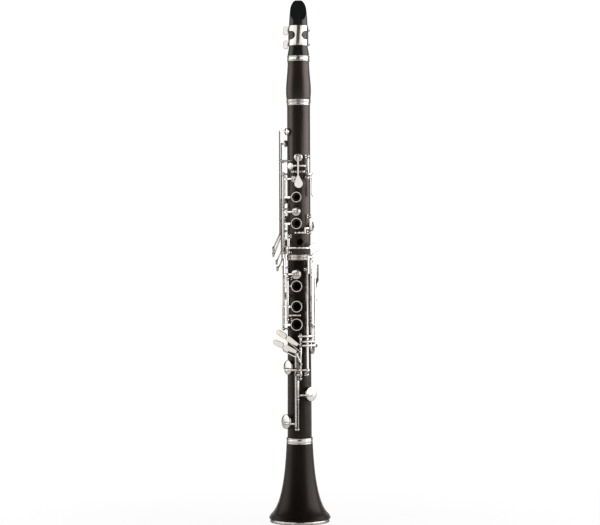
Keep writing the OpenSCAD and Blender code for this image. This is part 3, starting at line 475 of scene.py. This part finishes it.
def hold_to_surface(obj, reach):
    """Puts each corner that strays further than reach from the CAD surface back onto it.

    Only corners move. A face between them can still leave the surface, and on some keys one does, as
    across the opening of the thumb ring.
    """
    bare = bpy.data.objects.new(obj.name + "_bare", obj.data)
    tree = bpy.data.node_groups.new("hold_" + obj.name, "GeometryNodeTree")
    for way in ("INPUT", "OUTPUT"):
        tree.interface.new_socket("Geometry", in_out=way, socket_type="NodeSocketGeometry")
    start, end = tree.nodes.new("NodeGroupInput"), tree.nodes.new("NodeGroupOutput")
    source = tree.nodes.new("GeometryNodeObjectInfo")
    source.inputs["Object"].default_value = bare
    nearest = tree.nodes.new("GeometryNodeProximity")
    nearest.target_element = "FACES"
    far = tree.nodes.new("FunctionNodeCompare")
    far.operation = "GREATER_THAN"
    far.inputs["B"].default_value = reach
    move = tree.nodes.new("GeometryNodeSetPosition")
    tree.links.new(source.outputs["Geometry"], nearest.inputs[0])
    tree.links.new(nearest.outputs["Distance"], far.inputs["A"])
    tree.links.new(start.outputs[0], move.inputs["Geometry"])
    tree.links.new(far.outputs[0], move.inputs["Selection"])
    tree.links.new(nearest.outputs["Position"], move.inputs["Position"])
    tree.links.new(move.outputs[0], end.inputs[0])
    hold = obj.modifiers.new("hold", "NODES")
    hold.node_group = tree


# The width of each slot's rounded edges
EDGE = {
    "key_silver": 0.35 * MM,
    "ring_silver": 0.2 * MM,
    "ligature_silver": 0.12 * MM,
    "barrel_wood": 0.25 * MM,
    "upper_wood": 0.15 * MM,
    "lower_wood": 0.15 * MM,
    "bell_wood": 0.3 * MM,
    "mouthpiece": 0.2 * MM,
}
HELD_WITHIN = 0.8               # of that width


def dress_nodes(finishes):
    """Gives every CAD node its material, and rounds the edges of those that EDGE lists."""
    for name, obj in nodes.items():
        slot = node_slot(name)
        obj.data.materials.clear()
        obj.data.materials.append(finishes[slot])
        screw = name.startswith("ligature_screw")
        # keys and the ligature's screws get a second material for their rounded edges: painted shade that outlines
        # them
        if slot == "key_silver" or screw:
            obj.data.materials.append(finishes["key_edge"])
        if slot in EDGE:
            width = EDGE["key_silver"] if screw else EDGE[slot]
            soften(obj, width)
            hold_to_surface(obj, HELD_WITHIN * width)


# ---------- pieces made here ----------

def piece(name, bm, material, body, smooth=True):
    """Turns a bmesh into an object that rides on a body and wears the given finish."""
    bmesh.ops.recalc_face_normals(bm, faces=bm.faces)
    mesh = bpy.data.meshes.new(name)
    bm.to_mesh(mesh)
    bm.free()
    for face in mesh.polygons:
        face.use_smooth = smooth
    mesh.materials.append(material)
    obj = bpy.data.objects.new(name, mesh)
    bpy.context.scene.collection.objects.link(obj)
    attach(obj, body)
    return obj


def loft(bm, rings):
    """Skins rings of equally many points, and closes both ends."""
    loops = [[bm.verts.new(point) for point in ring] for ring in rings]
    for one, two in zip(loops, loops[1:]):
        for i in range(len(one)):
            k = (i + 1) % len(one)
            bm.faces.new((one[i], one[k], two[k], two[i]))
    bm.faces.new(list(reversed(loops[0])))
    bm.faces.new(loops[-1])


def ring_points(centre, turn, radius, count):
    """A circle round centre, whose axis is Z after the turn."""
    steps = [2 * math.pi * i / count for i in range(count)]
    return [centre + turn @ Vector((radius * math.cos(a), radius * math.sin(a), 0)) for a in steps]


NEEDLE_SIDES = 10
HEAD_SIDES = 24
MOON_STEPS = 12                 # along the curved side of half a slotted head


def needle(bm, path, thick, thin):
    """A tapered wire along a path, round in section."""
    rings = []
    for i, point in enumerate(path):
        way = path[min(i + 1, len(path) - 1)] - path[max(i - 1, 0)]
        turn = Vector((0, 0, 1)).rotation_difference(way.normalized())
        share = i / (len(path) - 1)
        rings.append(ring_points(point, turn, thick + (thin - thick) * share, NEEDLE_SIDES))
    loft(bm, rings)


def slotted_head(bm, place, axis, radius, height):
    """The end of a pivot screw: a low disc and two half moons with the slot between them."""
    turn = Vector((0, 0, 1)).rotation_difference(axis)
    half_slot = 0.2 * radius
    disc = (-height, 0.25 * height)
    loft(bm, [ring_points(place + axis * h, turn, radius, HEAD_SIDES) for h in disc])
    for side in (1, -1):
        rings = []
        for h, wide in ((0.1 * height, 0.995), (0.75 * height, 0.995), (height, 0.8)):
            reach = radius * wide
            start = math.asin(half_slot / reach)
            sweep = [start + (math.pi - 2 * start) * i / MOON_STEPS for i in range(MOON_STEPS + 1)]
            rings.append([
                place + turn @ Vector((reach * math.cos(a), side * reach * math.sin(a), h)) for a in sweep
            ])
        loft(bm, rings)


def along_axis(names, joint, reach, window=None):
    """Where the points of some CAD nodes lie along a hinge's axis, for those within reach of it."""
    origin, axis = Vector(joint["pos_m"]), Vector(joint["axis"]).normalized()
    found = []
    for name in names:
        for vertex in nodes[name].data.vertices:
            offset = vertex.co - origin
            share = offset.dot(axis)
            inside = window is None or window[0] < share < window[1]
            if inside and (offset - share * axis).length < reach:
                found.append(share)
    return found


POSTS = ["upper_posts", "lower_posts"]
POST_REACH = 2.2 * MM           # a post's ball round the axis
TUBE_REACH = 1.85 * MM          # a hinge tube round the axis
END_ROOM = 6 * MM               # from a tube's end to the far side of its post
HEAD_R = 1.0 * MM
HEAD_H = 0.45 * MM


def tube_span(joint):
    """Where the hinge tube of a joint's key starts and ends along the joint's axis."""
    found = along_axis([joint["child"]], joint, TUBE_REACH)
    return min(found), max(found)


def rod_lines():
    """Each rod that keys turn on: the lowest and highest end of their tubes, a point of it and its way.

    Joints on one rod share a line, so the line's place and way are rounded to find them.
    """
    rods = {}
    for joint in joints.values():
        if joint["name"].endswith("_turn"):
            continue
        axis = Vector(joint["axis"]).normalized()
        low_end, high_end = tube_span(joint)
        if axis.z < 0 or (abs(axis.z) < 0.5 and axis.x < 0):
            axis.negate()
            low_end, high_end = -high_end, -low_end
        origin = Vector(joint["pos_m"])
        start = origin.dot(axis)
        foot = origin - start * axis
        line = tuple(round(c, 4) for c in (*foot, *axis))
        lowest, highest = rods.get(line, (math.inf, -math.inf))[:2]
        rods[line] = (min(lowest, start + low_end), max(highest, start + high_end), foot, axis)
    return rods.values()


def make_pivot_heads(finish):
    """A slotted screw end on the outer side of the post at each end of every rod."""
    bm = bmesh.new()
    for low_end, high_end, foot, axis in rod_lines():
        line = {"pos_m": foot, "axis": axis}
        window = (low_end - END_ROOM, high_end + END_ROOM)
        found = along_axis(POSTS, line, POST_REACH, window)
        if not found:
            continue
        slotted_head(bm, foot + axis * max(found), axis, HEAD_R, HEAD_H)
        slotted_head(bm, foot + axis * min(found), -axis, HEAD_R, HEAD_H)
    piece("pivot_screw_ends", bm, finish, ROOT, smooth=False)


# Needle springs: joint, whether it starts at the tube's upper end, its length and how far it lies
# below the rod's axis, both in mm
SPRINGS = [
    ("first_ring_hinge", True, 27, 2.95),
    ("second_ring_hinge", True, 24, 2.95),
    ("right_ring_hinge", True, 26, 3.4),
    ("g_sharp_hinge", False, 11, 2.6),
    ("c_sharp_hinge", False, 9, 2.6),
    ("banana_hinge", True, 17, 2.4),
    ("low_e_hinge", False, 32, 2.3),
    ("low_f_hinge", False, 19, 2.3),
    ("f_sharp_hinge", True, 34, 2.6),
    ("a_flat_hinge", True, 9, 2.3),
    ("left_e_lever_hinge", False, 17, 2.5),
    ("left_f_lever_hinge", True, 16, 2.5),
]
NEEDLE_THICK = 0.3 * MM
NEEDLE_THIN = 0.16 * MM
NEEDLE_ROOT = 1.9 * MM          # how far the needle reaches back through its post
NEEDLE_SAG = 0.35 * MM
NEEDLE_STEPS = 12
HOOK_GAP = 0.35 * MM            # from the needle's thick radius to the middle of the hook's tip
HOOK_FOOT = 1.3                 # from the rod's axis to the hook's foot, in mm
HOOK_BEND = 0.08 * MM
HOOK_RADII = (0.42 * MM, 0.34 * MM, 0.26 * MM)  # at its foot, middle and tip
HOOK_SIDES = 12


def make_spring(name, upper, length, depth, blue, silver):
    """A blued needle in its post, and the small hook on the key's tube that it presses."""
    joint = joints[name]
    origin, axis = Vector(joint["pos_m"]), Vector(joint["axis"]).normalized()
    low_end, high_end = tube_span(joint)
    start, way = (high_end, -axis) if upper else (low_end, axis)
    inward = -Vector((origin.x, origin.y, 0)).normalized()
    across = inward.cross(axis)
    root = origin + axis * start - way * NEEDLE_ROOT
    path = []
    for i in range(NEEDLE_STEPS + 1):
        share = i / NEEDLE_STEPS
        sag = NEEDLE_SAG * share * share
        path.append(root + way * (length * MM * share) + inward * (depth * MM) + across * sag)
    bm = bmesh.new()
    needle(bm, path, NEEDLE_THICK, NEEDLE_THIN)
    key = name.removesuffix("_hinge")
    piece(key + "_spring", bm, blue, ROOT)
    bm = bmesh.new()
    tip = path[-2] + across * (NEEDLE_THICK + HOOK_GAP)
    base = tip - inward * (depth - HOOK_FOOT) * MM
    middle = (tip + base) / 2 + across * HOOK_BEND
    turn = Vector((0, 0, 1)).rotation_difference(inward)
    places = zip((base, middle, tip), HOOK_RADII)
    loft(bm, [ring_points(place, turn, radius, HOOK_SIDES) for place, radius in places])
    piece(key + "_spring_hook", bm, silver, joint["child"])


make_camera()
make_floor()
make_light()
finishes = make_finishes()
dress_nodes(finishes)
make_pivot_heads(finishes["steel"])
for spring in SPRINGS:
    make_spring(*spring, finishes["spring"], finishes["key_silver"])
